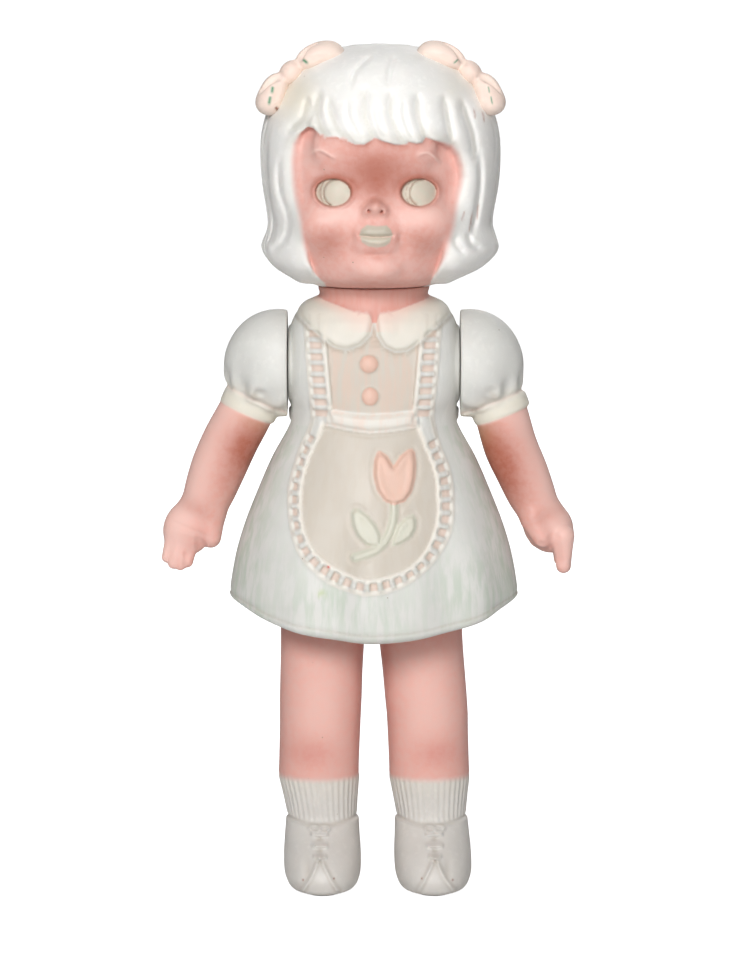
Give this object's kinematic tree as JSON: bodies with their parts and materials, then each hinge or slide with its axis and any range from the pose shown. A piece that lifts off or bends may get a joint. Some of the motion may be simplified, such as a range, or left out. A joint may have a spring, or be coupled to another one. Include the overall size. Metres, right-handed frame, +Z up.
{
  "type": "jointed porcelain doll",
  "caption": "Standing bisque girl doll in a moulded dress, with a turning head, swinging arms and turning legs strung on elastic.",
  "frame": {"origin": "middle of the doll's bounding box at its base, on the surface that it stands on", "axes": "+Z up the doll, from the soles to the hair; the doll faces -Y; +X is the doll's own left"},
  "size_m": [0.1429, 0.0796, 0.2946],
  "materials": {
    "dress_bisque": "unglazed bisque, cold painted off-white",
    "head_bisque": "unglazed bisque, off-white hair and pink face",
    "skin_bisque": "unglazed bisque, sprayed pink",
    "leg_bisque": "unglazed bisque, pink leg with off-white sock and shoe",
    "bow_bisque": "unglazed bisque, pale peach",
    "washer_leather": "thin kid leather",
    "elastic_cord": "round white elastic",
    "plug_wood": "turned beech",
    "hook_wire": "bent steel wire"
  },
  "bodies": {
    "torso": {"body_and_dress": "dress_bisque", "neck_ring": "washer_leather", "left_shoulder_washer": "washer_leather", "right_shoulder_washer": "washer_leather", "left_hip_washer": "washer_leather", "right_hip_washer": "washer_leather", "arm_elastic": "elastic_cord", "left_leg_elastic": "elastic_cord", "right_leg_elastic": "elastic_cord"},
    "head": {"head": "head_bisque", "left_hair_bow": "bow_bisque", "right_hair_bow": "bow_bisque", "neck_toggle": "plug_wood", "neck_hook": "hook_wire"},
    "left_arm": {"left_arm": "skin_bisque", "left_arm_plug": "plug_wood", "left_arm_eye": "hook_wire"},
    "right_arm": {"right_arm": "skin_bisque", "right_arm_plug": "plug_wood", "right_arm_eye": "hook_wire"},
    "left_leg": {"left_leg": "leg_bisque", "left_leg_plug": "plug_wood", "left_leg_eye": "hook_wire"},
    "right_leg": {"right_leg": "leg_bisque", "right_leg_plug": "plug_wood", "right_leg_eye": "hook_wire"}
  },
  "joints": [
    {"name": "head_turn", "type": "hinge", "parent": "torso", "child": "head", "pos_m": [0, 0, 0.21], "axis": [0, 0, 1], "range_deg": [-180, 180], "deforming": ["left_leg_elastic", "right_leg_elastic"]},
    {"name": "left_arm_swing", "type": "hinge", "parent": "torso", "child": "left_arm", "pos_m": [0.0296, 0, 0.183], "axis": [-1, 0, 0], "range_deg": [-180, 180], "deforming": ["arm_elastic"]},
    {"name": "right_arm_swing", "type": "hinge", "parent": "torso", "child": "right_arm", "pos_m": [-0.0296, 0, 0.183], "axis": [-1, 0, 0], "range_deg": [-180, 180], "deforming": ["arm_elastic"]},
    {"name": "left_leg_turn", "type": "hinge", "parent": "torso", "child": "left_leg", "pos_m": [0.0172, 0, 0.1075], "axis": [0, 0, 1], "range_deg": [-20, 90], "deforming": ["left_leg_elastic"]},
    {"name": "right_leg_turn", "type": "hinge", "parent": "torso", "child": "right_leg", "pos_m": [-0.0172, 0, 0.1075], "axis": [0, 0, -1], "range_deg": [-20, 90], "deforming": ["right_leg_elastic"]}
  ]
}
